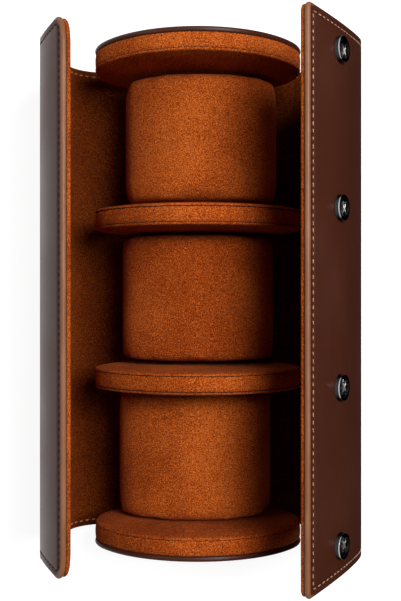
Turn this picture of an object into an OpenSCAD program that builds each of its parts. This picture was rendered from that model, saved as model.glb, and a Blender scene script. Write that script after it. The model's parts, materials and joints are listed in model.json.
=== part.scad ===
// Watch travel case: a leather wrap that rolls round two end plates, two dividers and three
// pillows, and snaps shut. X runs across the case, Y along its row of compartments, Z up.
// The origin lies on the resting surface, under the middle of the open case.

/* [Case] */
// Length of the case along its row of compartments
case_l = 200; // [150:1:260]
// Width of the end plates and dividers
plate_w = 84; // [70:1:110]
// Height of the end plates and dividers
plate_h = 65; // [56:1:90]

/* [Wrap] */
// Thickness of the outer leather
leather_t = 1.4; // [1:0.1:2]
// Thickness of the stiffener board
board_t = 0.8; // [0.6:0.1:1.2]
// Thickness of the suede lining
lining_t = 1.6; // [1:0.1:2.2]
// Inset of the flat floor from the side of the plates
floor_inset = 2; // [0:0.5:8]
// Distance from the foot of the plates to each floor hinge line
foot_to_hinge = 10; // [6:0.5:14]
// Radius of the wall's long curve
wall_r = 100; // [80:1:140]
// Running gap of the hinge lines
hinge_gap = 0.3; // [0.2:0.05:0.5]

/* [Left flap] */
// Bend radius at the left edge of the floor
left_bend_r = 17; // [12:1:24]
// Turn of that bend
left_bend_turn = 74; // [66:1:84]
// How far the left flap reaches past the top centre line when closed
left_reach = 21.4; // [16:0.2:26]
// How far before the top centre line the left flap folds
left_fold_back = 10.6; // [6:0.2:22]
// Radius of the left flap's curled edge
left_tip_r = 58.6; // [50:0.2:100]
// Length of the left flap's curled edge
left_tip_l = 20.4; // [16:0.2:24]
// Radius of the left flap's corners
left_corner_r = 9; // [4:0.5:14]
// Distance of the studs from the left flap's edge
stud_inset = 8; // [6:0.5:12]

/* [Right flap] */
// Bend radius at the right edge of the floor
right_bend_r = 22; // [14:1:28]
// Turn of that bend
right_bend_turn = 80; // [70:1:86]
// How far the right flap reaches past the top centre line when closed
right_reach = 44.6; // [34:0.2:50]
// How far before the top centre line the right flap folds
right_fold_back = 11; // [4:0.2:24]
// Radius of the right flap's curled edge
right_tip_r = 84; // [60:1:110]
// Length of the right flap's curled edge
right_tip_l = 29; // [24:1:36]
// Radius of the right flap's corners
right_corner_r = 2; // [1:0.5:8]
// Distance of the sockets from the right flap's edge
socket_inset = 22; // [14:0.5:24]

/* [End plates and dividers] */
// Radius of the plates' lower corners
foot_r = 28; // [14:1:32]
// Radius of the plates' shoulders
shoulder_r = 26; // [16:1:32]
// Angle of the line where each shoulder meets the crown
shoulder_angle = 31.2; // [20:0.2:50]
// Thickness of the board inside each plate
core_t = 6; // [3:0.5:8]
// Thickness of the padded suede on a plate's face
pad_t = 2; // [1:0.1:3]
// Radius of a padded face's rolled edge
pad_roll = 1.8; // [0.6:0.1:3]
// Thickness of the suede band round a plate's rim
band_t = 1; // [0.6:0.1:1.6]
// Recess of the band behind the rolled edges
band_recess = 0.3; // [0.1:0.1:0.8]
// Thickness of the leather facing on an end plate
facing_t = 2; // [1:0.1:3]
// Radius of the facing's rounded edge
facing_roll = 1.2; // [0.4:0.1:3]

/* [Pillows] */
// Width of a pillow
pillow_w = 63; // [50:1:76]
// Gap between a pillow and the plates at each end
pillow_gap = 0.8; // [0.5:0.1:3]
// How far a pillow's top lies below the plates' top
pillow_drop = 20; // [14:0.5:28]
// Radius of a pillow's lower corners
pillow_foot_r = 16; // [10:0.5:18]
// Radius of a pillow's shoulders
pillow_shoulder_r = 17; // [12:0.5:20]
// Angle of the line where a pillow's shoulder meets its crown
pillow_angle = 52; // [40:1:60]
// Radius of a pillow's rolled ends
pillow_roll = 7; // [3:0.5:9]
// Thickness of a pillow's suede cover with its wadding
cover_t = 3; // [2.5:0.1:4]
// Clearance under a pillow
seat_gap = 0.3; // [0.2:0.1:0.6]

/* [Snaps] */
// Distance of the end snaps from the inside of the end plates
snap_end_clear = 2.6; // [0:0.1:12]
// Outer diameter of a socket
socket_d = 9.4; // [8:0.2:11]
// Wall of a socket, rolled over into its rim
socket_wall = 0.8; // [0.6:0.1:1.1]
// Width of the lip that stands in from the rim over the spring
lip_w = 0.4; // [0.2:0.1:1]
// Diameter of a stud's head
stud_d = 3.6; // [3:0.1:4]
// Height of a stud above its flange
stud_h = 1.3; // [1:0.1:1.6]
// Diameter of the hidden cap behind each stud
cap_d = 9; // [8:0.5:11]
// Diameter of the wire of a socket's spring
wire_d = 0.5; // [0.4:0.05:0.6]
// Clearance round snap parts
snap_gap = 0.1; // [0.05:0.05:0.2]

/* [Hidden] */
$fn = 96;
// Reach of the tools that cut or trim
CUT = 60;
// Spacing of the points along a bend, and the steps of a hinge line's and a corner's arcs
PATH_STEP = 3;
HINGE_STEPS = 6;
CORNER_STEPS = 9;
// Steps of a rolled edge and of half a crown, and the angle between an outline's points
ROLL_STEPS = 3;
CROWN_STEPS = 14;
ARC_STEP = 6;
DEG = 180 / PI;
wrap_t = leather_t + board_t + lining_t;
plate_half = plate_w / 2;
crown_r = shoulder_r + (plate_half - shoulder_r) / cos(shoulder_angle);
crown_z = plate_h - crown_r;
shoulder_z = crown_z + (plate_half - shoulder_r) * tan(shoulder_angle);
floor_half = plate_half - floor_inset;
floor_hinge = plate_half - foot_r + foot_to_hinge;
// Half the girth of a plate, from the middle of its foot to the middle of its crown
half_girth = plate_half - foot_r + foot_r * 90 / DEG + (shoulder_z - foot_r)
    + shoulder_r * shoulder_angle / DEG + crown_r * (90 - shoulder_angle) / DEG;
// A row of three compartments between the end plates
compartments = 3;
end_t = facing_t + core_t + pad_t;
divider_t = core_t + 2 * pad_t;
compartment_l = (case_l - 2 * end_t - (compartments - 1) * divider_t) / compartments;
pitch = compartment_l + divider_t;
pillow_l = compartment_l - 2 * pillow_gap;
pillow_h = plate_h - pillow_drop - seat_gap;
// Stations along Y: the compartments' middles, the dividers' middles and the snaps
pillow_ys = [for (i = [0 : compartments - 1]) (i - (compartments - 1) / 2) * pitch];
divider_ys = [for (i = [1 : compartments - 1]) (i - compartments / 2) * pitch];
snap_end_y = case_l / 2 - end_t - snap_end_clear;
snap_ys = concat([-snap_end_y], divider_ys, [snap_end_y]);
// Layers of the wrap as [outer, inner] offsets from its middle surface
LEATHER = [-wrap_t / 2, -wrap_t / 2 + leather_t];
BOARD = [LEATHER[1], LEATHER[1] + board_t];
LINING = [BOARD[1], wrap_t / 2];
// Snap parts: the spread flange of an eyelet, its tube, a stud's flange and its rivet
eyelet_flange_r = 3.6;
eyelet_flange_t = 0.5;
eyelet_r = 1.6;
eyelet_wall = 0.4;
eyelet_roll_r = 2;
eyelet_roll_t = 0.3;
socket_base_t = 0.4;
lip_t = 0.3;
// A socket's levels above the leather: its spring, its lip and its rim
spring_z = socket_base_t + eyelet_roll_t + snap_gap;
lip_z = spring_z + wire_d + snap_gap;
socket_h = lip_z + lip_t + snap_gap;
stud_flange_r = 4.2;
stud_flange_t = 0.5;
stud_neck = 0.3;
rivet_r = 0.9;
cap_t = 0.4;
// Radius to which a spring's bars bow towards the stud, and the turn of its hooked ends
spring_bow_r = 6;
spring_hook = 42;
// How far the middle of a flat disc stands off a curved face that its rim clears
disc_clear = 0.03;
function disc_rise(curve_r, disc_r) = curve_r - sqrt(curve_r * curve_r - disc_r * disc_r) + disc_clear;
cap_sink = disc_rise(left_tip_r - BOARD[0], cap_d / 2);
flange_rise = disc_rise(left_tip_r - LINING[1], stud_flange_r);
eyelet_sink = disc_rise(right_tip_r - BOARD[0], eyelet_flange_r);

// ---- Path of the wrap: poses are [x, z, heading] of its middle surface ----

// The pose after a bend of radius r that turns by a degrees
function bend(p, r, a) = [
    p[0] + r * (sin(p[2] + a) - sin(p[2])),
    p[1] - r * (cos(p[2] + a) - cos(p[2])),
    p[2] + a
];

// A side of the wrap as [bend radius, bend turn, lower wall, upper wall, tip radius, tip length]
function side(bend_r, turn, reach, fold_back, tip_r, tip_l) = [
    bend_r,
    turn,
    half_girth - fold_back - floor_half - bend_r * turn / DEG,
    fold_back + reach - tip_l,
    tip_r,
    tip_l
];
LEFT = side(left_bend_r, left_bend_turn, left_reach, left_fold_back, left_tip_r, left_tip_l);
RIGHT = side(right_bend_r, right_bend_turn, right_reach, right_fold_back, right_tip_r, right_tip_l);

function hinge_pose() = [floor_hinge, wrap_t / 2, 0];
function bend_pose() = [floor_half, wrap_t / 2, 0];
function wall_pose(s) = bend(bend_pose(), s[0], s[1]);
function fold_pose(s) = bend(wall_pose(s), wall_r, s[2] / wall_r * DEG);
function tip_pose(s) = bend(fold_pose(s), wall_r, s[3] / wall_r * DEG);
function edge_pose(s) = bend(tip_pose(s), s[4], s[5] / s[4] * DEG);
// The pose on the tip at a distance from its edge
function inset_pose(s, inset) = bend(edge_pose(s), s[4], -inset / s[4] * DEG);
// The furthest that the outer face of a side's wall reaches from the centre line
function wall_reach(s) = wall_pose(s)[0] + wall_r * (1 - sin(wall_pose(s)[2])) + wrap_t / 2;
centre_shift = (wall_reach(LEFT) - wall_reach(RIGHT)) / 2;

// Poses along a bend of radius r and length l, from the one after p to its end
function bend_poses(p, r, l) =
    let (n = ceil(l / PATH_STEP))
    [for (i = [1 : n]) bend(p, r, i / n * l / r * DEG)];

// The point at offset d from a pose, towards the inside of the wrap, and u along the heading
function beside(p, d, u = 0) = [
    p[0] + u * cos(p[2]) - d * sin(p[2]),
    p[1] + u * sin(p[2]) + d * cos(p[2])
];

// Points of a layer's edge on a circle of radius r about the hinge line of a pose
function hinge_arc(p, layer, r) = [
    for (i = [0 : HINGE_STEPS])
        let (d = layer[0] + i / HINGE_STEPS * (layer[1] - layer[0]), u = sqrt(max(0, r * r - d * d)))
        if (u > 0.01) beside(p, d, -u)
];

function reversed(list) = [for (i = [len(list) - 1 : -1 : 0]) list[i]];

// Section of a panel's layer along its poses: a round nose at its first hinge line, and a
// square edge at its end
function panel_points(poses, layer) = concat(
    [for (p = poses) beside(p, layer[0])],
    [for (p = reversed(poses)) beside(p, layer[1])],
    reversed(hinge_arc(poses[0], layer, wrap_t / 2))
);

// The round trough in which the nose of the next panel turns
module hinge_trough(p) {
    translate([p[0], p[1]]) circle(wrap_t / 2 + hinge_gap);
}

module side_section(s, layer) {
    poses = concat(
        [hinge_pose(), bend_pose()],
        bend_poses(bend_pose(), s[0], s[0] * s[1] / DEG),
        bend_poses(wall_pose(s), wall_r, s[2])
    );
    difference() {
        polygon(panel_points(poses, layer));
        hinge_trough(fold_pose(s));
    }
}

module flap_section(s, layer) {
    poses = concat(
        [fold_pose(s)],
        bend_poses(fold_pose(s), wall_r, s[3]),
        bend_poses(tip_pose(s), s[4], s[5])
    );
    polygon(panel_points(poses, layer));
}

// Sections are drawn in X and Z, and this runs them along Y over the whole case
module along_case(l = case_l) {
    rotate([90, 0, 0]) linear_extrude(l, center = true) children();
}

// Children's Z axis points out of the wrap at a pose, Y station by Y station
module on_wrap(p, ys) {
    for (y = ys) translate([p[0], y, p[1]]) rotate([0, -p[2], 0]) mirror([0, 0, 1]) children();
}

module shifted() {
    translate([centre_shift, 0, 0]) children();
}

module left_side_frame() {
    shifted() mirror([1, 0, 0]) children();
}

// A prism along the normal of a flap's edge, which rounds off its two corners by a radius r
module corner_trim(s, r) {
    corner = [for (i = [0 : CORNER_STEPS]) i * 90 / CORNER_STEPS];
    on_wrap(inset_pose(s, r / 2), [0]) linear_extrude(CUT, center = true) polygon(concat(
        [[-2 * CUT, -case_l / 2 - 1], [-r / 2, -case_l / 2 - 1]],
        [for (a = corner) [-r / 2 + r * sin(a), -case_l / 2 + r - r * cos(a)]],
        [for (a = reversed(corner)) [-r / 2 + r * sin(a), case_l / 2 - r + r * cos(a)]],
        [[-r / 2, case_l / 2 + 1], [-2 * CUT, case_l / 2 + 1]]
    ));
}

module flap(s, layer, corner_r) {
    intersection() {
        along_case() flap_section(s, layer);
        corner_trim(s, corner_r);
    }
}

module floor_panel(layer) {
    shifted() along_case() difference() {
        translate([-floor_hinge, wrap_t / 2 + layer[0]])
            square([2 * floor_hinge, layer[1] - layer[0]]);
        for (m = [0, 1]) mirror([m, 0]) hinge_trough(hinge_pose());
    }
}

module floor_leather() {
    color("saddlebrown") floor_panel(LEATHER);
}

module floor_board() {
    color("tan") floor_panel(BOARD);
}

module floor_lining() {
    color("chocolate") floor_panel(LINING);
}

module left_side_leather() {
    color("saddlebrown") left_side_frame() along_case() side_section(LEFT, LEATHER);
}

module left_side_board() {
    color("tan") left_side_frame() along_case() side_section(LEFT, BOARD);
}

module left_side_lining() {
    color("chocolate") left_side_frame() along_case() side_section(LEFT, LINING);
}

module right_side_leather() {
    color("saddlebrown") shifted() along_case() side_section(RIGHT, LEATHER);
}

module right_side_board() {
    color("tan") shifted() along_case() side_section(RIGHT, BOARD);
}

module right_side_lining() {
    color("chocolate") shifted() along_case() side_section(RIGHT, LINING);
}

module at_studs() {
    left_side_frame() on_wrap(inset_pose(LEFT, stud_inset), snap_ys) children();
}

module at_sockets() {
    shifted() on_wrap(inset_pose(RIGHT, socket_inset), snap_ys) children();
}

module left_flap_leather() {
    color("saddlebrown") left_side_frame() flap(LEFT, LEATHER, left_corner_r);
}

// The board has a hole for each stud cap
module left_flap_board() {
    color("tan") difference() {
        left_side_frame() flap(LEFT, BOARD, left_corner_r);
        at_studs() cylinder(CUT, r = cap_d / 2 + snap_gap, center = true);
    }
}

module left_flap_lining() {
    color("chocolate") difference() {
        left_side_frame() flap(LEFT, LINING, left_corner_r);
        at_studs() cylinder(CUT, r = rivet_r + snap_gap, center = true);
    }
}

module right_flap_leather() {
    color("saddlebrown") difference() {
        shifted() flap(RIGHT, LEATHER, right_corner_r);
        at_sockets() cylinder(CUT, r = eyelet_r + snap_gap, center = true);
    }
}

// The board is pocketed for the spread flanges of the eyelets
module right_flap_board() {
    color("tan") difference() {
        shifted() flap(RIGHT, BOARD, right_corner_r);
        at_sockets() translate([0, 0, -BOARD[0] - eyelet_sink - eyelet_flange_t - snap_gap])
            cylinder(CUT, r = eyelet_flange_r + snap_gap);
    }
}

module right_flap_lining() {
    color("chocolate") shifted() flap(RIGHT, LINING, right_corner_r);
}

// ---- Snaps: revolved about their own axis, Z out of the wrap ----

module snap_studs() {
    neck_r = stud_d / 2 - stud_neck;
    head_r = stud_h / 3;
    color("dimgray") at_studs() mirror([0, 0, 1])
        translate([0, 0, LINING[1] + flange_rise]) rotate_extrude()
        difference() {
            union() {
                square([stud_flange_r - stud_flange_t / 2, stud_flange_t]);
                translate([stud_flange_r - stud_flange_t / 2, stud_flange_t / 2])
                    intersection() {
                        circle(stud_flange_t / 2, $fn = 24);
                        translate([0, -stud_flange_t / 2]) square(stud_flange_t);
                    }
                square([neck_r, stud_flange_t + stud_h]);
                translate([0, stud_flange_t + stud_h - 2 * head_r])
                    square([stud_d / 2 - head_r, 2 * head_r]);
                translate([stud_d / 2 - head_r, stud_flange_t + stud_h - head_r])
                    circle(head_r, $fn = 24);
            }
            translate([0, -CUT / 2]) square([rivet_r + snap_gap / 2, CUT]);
        }
}

module stud_caps() {
    rivet_l = LINING[1] + flange_rise + stud_flange_t + stud_h / 2 - BOARD[0] - cap_sink;
    color("gray") at_studs() mirror([0, 0, 1]) translate([0, 0, BOARD[0] + cap_sink]) rotate_extrude() {
        square([cap_d / 2, cap_t]);
        square([rivet_r, rivet_l]);
    }
}

module snap_sockets() {
    rim_r = socket_wall / 2;
    wall_x = socket_d / 2 - socket_wall;
    color("dimgray") at_sockets() translate([0, 0, -LEATHER[0]]) rotate_extrude() {
        translate([eyelet_r + snap_gap, 0])
            square([socket_d / 2 - eyelet_r - snap_gap - rim_r, socket_base_t]);
        translate([wall_x, 0]) square([socket_wall, socket_h - rim_r]);
        translate([wall_x + rim_r, socket_h - rim_r]) circle(rim_r, $fn = 24);
        translate([wall_x - lip_w, lip_z]) square([lip_w + rim_r, lip_t]);
    }
}

// Angle at the middle of a circle of radius a, from the line to the middle of another circle of
// radius b at a distance l, to the point where they meet
function meet(l, a, b) = acos((l * l + a * a - b * b) / (2 * l * a));

// Half of a socket's S-shaped spring: a bar bowed towards the stud, whose upper end hooks round
// the groove under the socket's lip
module spring_wire() {
    groove_r = socket_d / 2 - socket_wall - snap_gap;
    l = stud_d / 2 + snap_gap + wire_d + spring_bow_r;
    near = spring_bow_r + wire_d;
    rim = groove_r - wire_d;
    top = meet(l, groove_r, spring_bow_r) + spring_hook;
    foot = 180 + meet(l, spring_bow_r, groove_r);
    linear_extrude(wire_d) polygon(concat(
        arc_points([l, 0], near, foot, 180 - meet(l, near, rim)),
        arc_points([0, 0], rim, meet(l, rim, near), top),
        arc_points([0, 0], groove_r, top, meet(l, groove_r, spring_bow_r)),
        arc_points([l, 0], spring_bow_r, 360 - foot, foot)
    ));
}

module socket_springs() {
    color("silver") at_sockets() for (turn = [0, 180])
        rotate([0, 0, turn])
            translate([0, 0, -LEATHER[0] + spring_z]) spring_wire();
}

module socket_eyelets() {
    color("gray") at_sockets() translate([0, 0, -LEATHER[1]]) rotate_extrude() {
        translate([eyelet_r - eyelet_wall, -eyelet_flange_t - eyelet_sink])
            square([eyelet_flange_r - eyelet_r + eyelet_wall, eyelet_flange_t]);
        translate([eyelet_r - eyelet_wall, -eyelet_flange_t - eyelet_sink])
            square([eyelet_wall, eyelet_flange_t + eyelet_sink + leather_t + socket_base_t + eyelet_roll_t]);
        translate([eyelet_r - eyelet_wall, leather_t + socket_base_t])
            square([eyelet_roll_r - eyelet_r + eyelet_wall, eyelet_roll_t]);
    }
}

// ---- Arched outline of plates and pillows: tangent arcs for foot, shoulder and crown ----

// An outline as [half width, foot radius, shoulder radius, shoulder angle, crown radius,
// crown centre height, shoulder centre height]
function arched(half, h, foot, shoulder, angle) =
    let (crown = shoulder + (half - shoulder) / cos(angle))
    [half, foot, shoulder, angle, crown, h - crown, h - crown + (half - shoulder) * tan(angle)];
PLATE = arched(plate_half, plate_h, foot_r, shoulder_r, shoulder_angle);
PILLOW = arched(pillow_w / 2, pillow_h, pillow_foot_r, pillow_shoulder_r, pillow_angle);

// Points of an arc about a centre, between two angles
function arc_points(centre, r, a, b) =
    let (n = ceil(abs(b - a) / ARC_STEP))
    [for (i = [0 : n]) centre + r * [cos(a + i / n * (b - a)), sin(a + i / n * (b - a))]];

// The right half of an outline inset by d, from its foot up to its crown
function right_half(o, d) = concat(
    arc_points([o[0] - o[1], o[1]], o[1] - d, -90, 0),
    arc_points([o[0] - o[2], o[6]], o[2] - d, 0, o[3]),
    [for (i = [1 : CROWN_STEPS])
        let (a = o[3] + i / CROWN_STEPS * (90 - o[3]))
        [0, o[5]] + (o[4] - d) * [cos(a), sin(a)]]
);

module outline(o, d = 0) {
    right = right_half(o, d);
    left = [for (i = [len(right) - 2 : -1 : 0]) [-right[i][0], right[i][1]]];
    polygon(concat(right, left));
}

// A slab of an outline, its edge rolled over by a radius e on the upper face
module rolled_slab(o, t, e) {
    hull() for (a = [0 : 90 / ROLL_STEPS : 90])
        linear_extrude(t - e + e * sin(a)) outline(o, e - e * cos(a));
}

// A block of an outline, centred along its length l, both its ends rolled over by a radius e
module rolled_block(o, l, e) {
    hull() for (a = [0 : 90 / ROLL_STEPS : 90])
        linear_extrude(l - 2 * e + 2 * e * sin(a), center = true) outline(o, e - e * cos(a));
}

// Stands an outline up on the lining, its upper face turned to +Y (facing 1) or -Y (facing -1)
module stood_up(y, facing) {
    shifted() translate([0, y, wrap_t]) mirror([0, facing > 0 ? 0 : 1, 0])
        mirror([0, 1, 0]) rotate([90, 0, 0]) children();
}

module plate_board(y) {
    stood_up(y - core_t / 2, 1) linear_extrude(core_t) outline(PLATE, band_recess + band_t);
}

module plate_band(y) {
    stood_up(y - core_t / 2, 1) difference() {
        linear_extrude(core_t) outline(PLATE, band_recess);
        translate([0, 0, -core_t]) linear_extrude(3 * core_t) outline(PLATE, band_recess + band_t);
    }
}

module plate_pad(y, facing) {
    stood_up(y + facing * core_t / 2, facing) rolled_slab(PLATE, pad_t, min(pad_roll, pad_t));
}

function end_y(s) = s * (case_l / 2 - facing_t - core_t / 2);

module end_facing(s) {
    stood_up(end_y(s) + s * core_t / 2, s) rolled_slab(PLATE, facing_t, min(facing_roll, facing_t));
}

module front_end_facing() {
    color("saddlebrown") end_facing(-1);
}

module front_end_board() {
    color("tan") plate_board(end_y(-1));
}

module front_end_band() {
    color("chocolate") plate_band(end_y(-1));
}

module front_end_pad() {
    color("chocolate") plate_pad(end_y(-1), 1);
}

module back_end_facing() {
    color("saddlebrown") end_facing(1);
}

module back_end_board() {
    color("tan") plate_board(end_y(1));
}

module back_end_band() {
    color("chocolate") plate_band(end_y(1));
}

module back_end_pad() {
    color("chocolate") plate_pad(end_y(1), -1);
}

module front_divider_board() {
    color("tan") plate_board(divider_ys[0]);
}

module front_divider_band() {
    color("chocolate") plate_band(divider_ys[0]);
}

module front_divider_pads() {
    color("chocolate") for (f = [-1, 1]) plate_pad(divider_ys[0], f);
}

module back_divider_board() {
    color("tan") plate_board(divider_ys[len(divider_ys) - 1]);
}

module back_divider_band() {
    color("chocolate") plate_band(divider_ys[len(divider_ys) - 1]);
}

module back_divider_pads() {
    color("chocolate") for (f = [-1, 1]) plate_pad(divider_ys[len(divider_ys) - 1], f);
}

// ---- Pillows ----

// The foam block inside a pillow
module pillow_foam(y) {
    foam_l = pillow_l - 2 * cover_t;
    color("wheat") translate([0, 0, seat_gap]) stood_up(y - foam_l / 2, 1)
        linear_extrude(foam_l) outline(PILLOW, cover_t);
}

// Suede and wadding round the foam, with rolled ends
module pillow_cover(y) {
    color("sienna") difference() {
        translate([0, 0, seat_gap]) stood_up(y, 1) rolled_block(PILLOW, pillow_l, pillow_roll);
        pillow_foam(y);
    }
}

module front_pillow_cover() {
    pillow_cover(pillow_ys[0]);
}

module front_pillow_foam() {
    pillow_foam(pillow_ys[0]);
}

module middle_pillow_cover() {
    pillow_cover(pillow_ys[1]);
}

module middle_pillow_foam() {
    pillow_foam(pillow_ys[1]);
}

module back_pillow_cover() {
    pillow_cover(pillow_ys[2]);
}

module back_pillow_foam() {
    pillow_foam(pillow_ys[2]);
}

floor_leather();
floor_board();
floor_lining();
front_end_facing();
front_end_board();
front_end_band();
front_end_pad();
back_end_facing();
back_end_board();
back_end_band();
back_end_pad();
front_divider_board();
front_divider_band();
front_divider_pads();
back_divider_board();
back_divider_band();
back_divider_pads();
left_side_leather();
left_side_board();
left_side_lining();
left_flap_leather();
left_flap_board();
left_flap_lining();
right_side_leather();
right_side_board();
right_side_lining();
right_flap_leather();
right_flap_board();
right_flap_lining();
snap_studs();
stud_caps();
snap_sockets();
socket_springs();
socket_eyelets();
front_pillow_cover();
front_pillow_foam();
middle_pillow_cover();
middle_pillow_foam();
back_pillow_cover();
back_pillow_foam();
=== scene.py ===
"""Looks of a watch travel case: a leather wrap, stitched and lined with suede, round plates and pillows."""

import json
import logging
import math
from bisect import bisect_left
from collections.abc import Iterable, Sequence
from dataclasses import dataclass, field
from enum import Enum
from itertools import accumulate, pairwise

import bmesh
import bpy
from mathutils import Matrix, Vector

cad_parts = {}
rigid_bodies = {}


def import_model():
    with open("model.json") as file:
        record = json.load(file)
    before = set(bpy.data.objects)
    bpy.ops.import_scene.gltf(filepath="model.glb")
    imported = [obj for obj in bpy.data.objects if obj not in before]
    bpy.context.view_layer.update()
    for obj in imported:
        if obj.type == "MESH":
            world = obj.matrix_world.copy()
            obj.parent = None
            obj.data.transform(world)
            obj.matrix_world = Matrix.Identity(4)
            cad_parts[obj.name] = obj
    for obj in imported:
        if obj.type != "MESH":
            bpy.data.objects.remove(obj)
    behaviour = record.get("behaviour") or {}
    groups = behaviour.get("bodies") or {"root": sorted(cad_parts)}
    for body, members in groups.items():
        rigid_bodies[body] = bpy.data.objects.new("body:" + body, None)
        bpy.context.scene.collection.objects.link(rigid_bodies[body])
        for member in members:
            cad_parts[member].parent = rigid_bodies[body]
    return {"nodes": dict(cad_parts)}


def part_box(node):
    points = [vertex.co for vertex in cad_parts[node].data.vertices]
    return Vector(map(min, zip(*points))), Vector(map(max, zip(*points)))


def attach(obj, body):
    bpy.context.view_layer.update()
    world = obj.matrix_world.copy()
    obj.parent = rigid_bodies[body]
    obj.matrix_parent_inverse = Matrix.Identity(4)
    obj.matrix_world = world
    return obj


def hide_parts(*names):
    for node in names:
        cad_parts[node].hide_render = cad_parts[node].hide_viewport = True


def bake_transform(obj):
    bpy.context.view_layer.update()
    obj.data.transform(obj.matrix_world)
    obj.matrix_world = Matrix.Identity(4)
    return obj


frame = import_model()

log = logging.getLogger("watch_case")
Colour = Place = tuple[float, float, float]
Profile = list[tuple[float, float]]
Piece = bpy.types.Object
Socket = bpy.types.NodeSocket
Node = bpy.types.Node
Inputs = dict[str | int, object]

MM = 0.001
PER_METRE = 1000.0
CREASE, THREAD_CREASE = 40.0, 80.0
BLACK, PALE, WHITE = (0.0, 0.0, 0.0), (0.8, 0.8, 0.8), (1.0, 1.0, 1.0)
COLOUR, VALUE = "NodeSocketColor", "NodeSocketFloat"
# Rings of one stitch, as shares of its length and of its radius, and the sides of each ring.
STITCH_RINGS = ((0.0, 0.35), (0.1, 0.8), (0.3, 1.0), (0.7, 1.0), (0.9, 0.8), (1.0, 0.35))
STITCH_SIDES = 6


# ---------------------------------------------------------------- meshes


def new_piece(name: str, points: list[Vector], faces: list[tuple[int, ...]], crease: float = CREASE) -> Piece:
    """Makes a mesh object, smooth but for edges sharper than the crease.

    Args:
        name: Name of the piece.
        points: Vertices in metres.
        faces: Vertex numbers of each face.
        crease: Angle in degrees above which an edge stays sharp.

    Returns:
        The new object, linked to the scene.
    """
    mesh = bpy.data.meshes.new(name)
    mesh.from_pydata([tuple(p) for p in points], [], faces)
    mesh.validate()
    bm = bmesh.new()
    bm.from_mesh(mesh)
    bmesh.ops.recalc_face_normals(bm, faces=bm.faces)
    for face in bm.faces:
        face.smooth = True
    for edge in bm.edges:
        edge.smooth = len(edge.link_faces) == 2 and edge.calc_face_angle(0.0) < math.radians(crease)
    bm.to_mesh(mesh)
    bm.free()
    obj = bpy.data.objects.new(name, mesh)
    bpy.context.scene.collection.objects.link(obj)
    return obj


def mark_slots(obj: Piece, slots: Sequence[int]) -> None:
    """Adds empty material slots to a piece and gives each face its own.

    Args:
        obj: The piece.
        slots: Slot of each face.
    """
    for _ in range(max(slots) + 1):
        obj.data.materials.append(None)
    for face, slot in zip(obj.data.polygons, slots):
        face.material_index = slot


def spread(start: float, end: float, step: float) -> list[float]:
    """Even stations from start to end, about a step apart."""
    n = max(1, math.ceil(abs(end - start) / step - 1e-6))
    return [start + (end - start) * i / n for i in range(n + 1)]


@dataclass
class MeshParts:
    """Points and faces of one mesh as it grows.

    Attributes:
        points: Vertices in millimetres.
        faces: Vertex numbers of each face.
    """

    points: list[Vector] = field(default_factory=list)
    faces: list[tuple[int, ...]] = field(default_factory=list)

    def add(self, points: Iterable[Vector]) -> list[int]:
        """Adds points and returns their numbers."""
        self.points.extend(new := list(points))
        return list(range(len(self.points) - len(new), len(self.points)))

    def bridge(self, a: list[int], b: list[int], closed: bool = True) -> None:
        """Joins two rows of the same length with quads.

        Args:
            a: Vertex numbers of one row.
            b: Vertex numbers of the other row.
            closed: Whether the rows are rings.
        """
        for i in range(len(a) if closed else len(a) - 1):
            j = (i + 1) % len(a)
            self.faces.append((a[i], a[j], b[j], b[i]))

    def build(self, name: str, crease: float = CREASE) -> Piece:
        """Turns the parts into an object, in metres."""
        return new_piece(name, [p * MM for p in self.points], self.faces, crease)


def capsule(parts: MeshParts, a: Vector, b: Vector, radius: float, up: Vector, flat: float = 1.0) -> None:
    """Adds a small rounded bar, such as one stitch.

    Args:
        parts: Mesh that takes the bar.
        a: One end, in millimetres.
        b: The other end.
        radius: Radius of the bar.
        up: Direction out of the surface.
        flat: Height of the bar as a share of its width.
    """
    length = (b - a).length
    along = (b - a).normalized()
    side = along.cross(up).normalized()
    out = side.cross(along)
    rings = []
    for place, share in STITCH_RINGS:
        centre = a + along * length * place
        turns = [k * math.tau / STITCH_SIDES for k in range(STITCH_SIDES)]
        rings.append(parts.add(
            centre + side * math.cos(t) * radius * share + out * math.sin(t) * radius * share * flat
            for t in turns
        ))
    for first, second in pairwise(rings):
        parts.bridge(first, second)
    parts.faces += [tuple(reversed(rings[0])), tuple(rings[-1])]


# ---------------------------------------------------------------- node trees


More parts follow.
